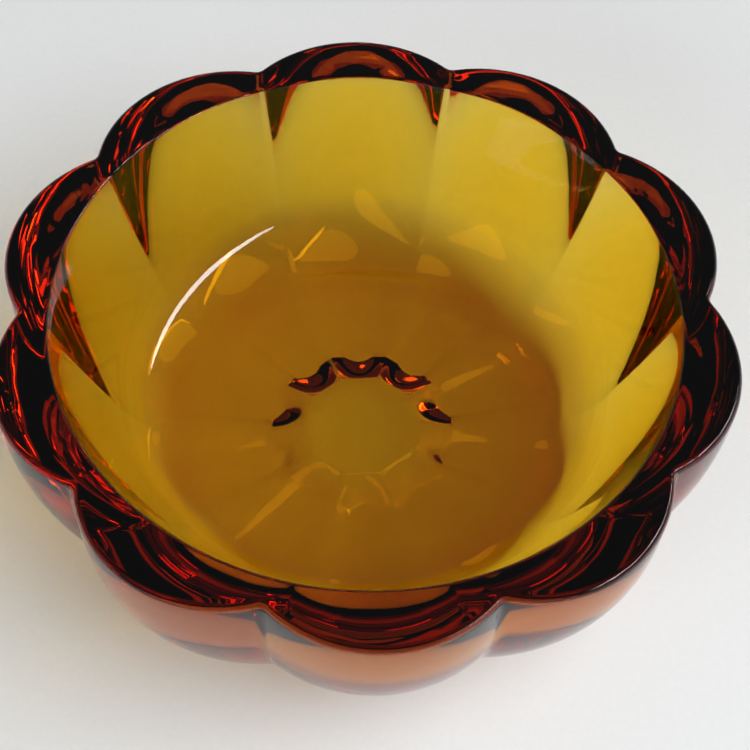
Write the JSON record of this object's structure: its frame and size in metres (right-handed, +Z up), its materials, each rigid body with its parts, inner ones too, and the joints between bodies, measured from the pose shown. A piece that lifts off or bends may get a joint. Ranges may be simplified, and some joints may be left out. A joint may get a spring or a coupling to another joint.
{
  "type": "candy dish",
  "caption": "Round candy dish in thick pressed glass: scalloped rim, lobes running down the wall and under the base, plain smooth bowl inside.",
  "frame": {"origin": "centre of the plane that the lobes rest on", "axes": "+Z up along the dish's axis, -Y towards the front, through the crest of a lobe"},
  "size_m": [0.1522, 0.157, 0.056],
  "materials": {
    "amber_glass": "clear amber, fire-polished gloss"
  },
  "bodies": {
    "root": {"dish": "amber_glass"}
  },
  "joints": []
}
